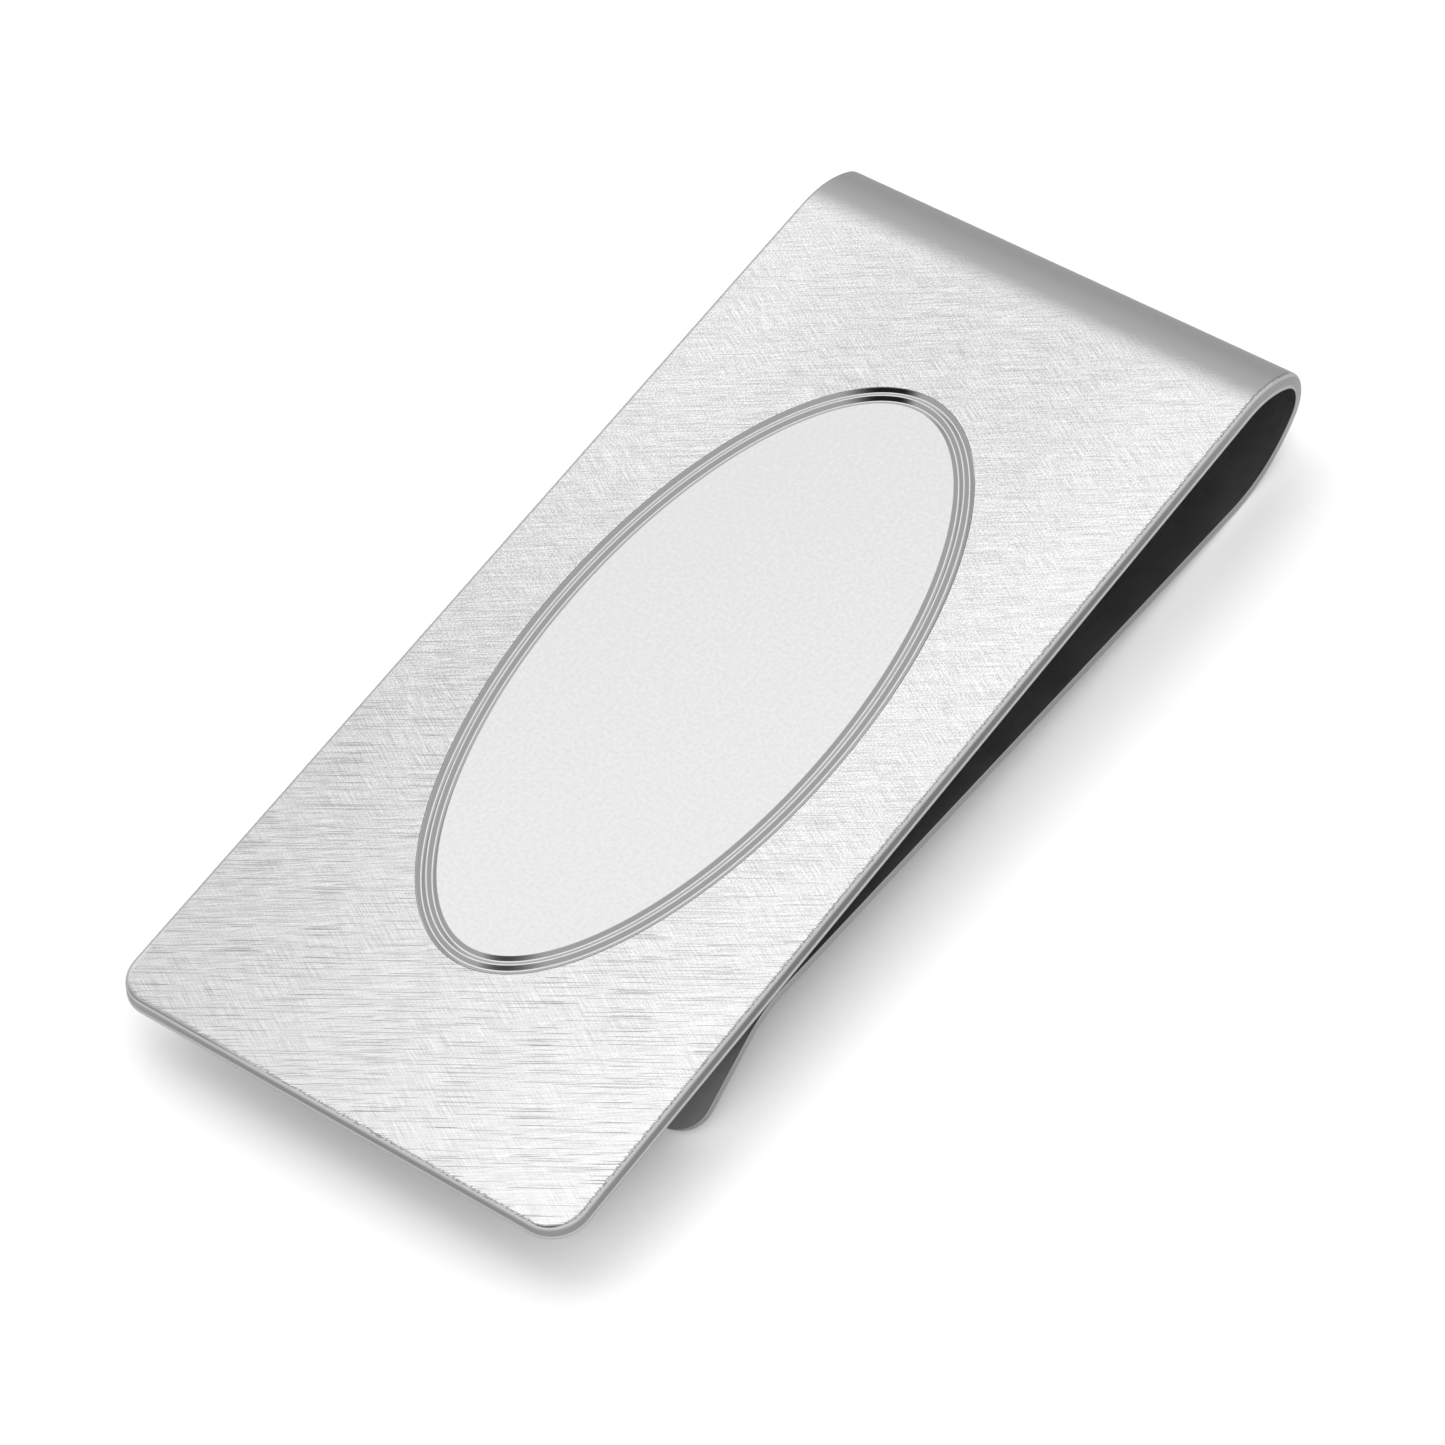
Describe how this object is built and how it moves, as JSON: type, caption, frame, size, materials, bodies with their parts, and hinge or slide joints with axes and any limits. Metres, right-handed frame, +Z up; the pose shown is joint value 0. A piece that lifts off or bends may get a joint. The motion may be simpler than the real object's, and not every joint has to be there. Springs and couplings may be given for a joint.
{
  "type": "money clip",
  "caption": "Folded spring strip that grips bank notes between a flat brushed face with an oval engraving plate and a sprung arm with a flared lip.",
  "frame": {"origin": "centre of the bounding box at its bottom, on the surface that the clip rests on", "axes": "+X from the free end of the face towards the fold, +Y across the strip, +Z up, with the clip lying on its fold and its lip"},
  "size_m": [0.0562, 0.0254, 0.0059],
  "materials": {
    "brushed_face": "satin",
    "mirror_oval": "polished",
    "polished_spring": "polished"
  },
  "bodies": {
    "arm": {"spring_arm": "polished_spring", "grip_ridge": "polished_spring", "flared_lip": "polished_spring", "belly_bend": "polished_spring", "nose_bend": "polished_spring"},
    "face": {"front_plate": "brushed_face", "engraving_plate": "mirror_oval", "shoulder_bend": "polished_spring"}
  },
  "joints": [
    {"name": "spring_flex", "type": "hinge", "parent": "arm", "child": "face", "pos_m": [0.02618, 0, 0.00326], "axis": [0, 1, 0], "range_deg": [0, 10], "stiffness_Nm_per_rad": 3.7, "springref_deg": -0.57, "deforming": ["nose_bend"]}
  ]
}
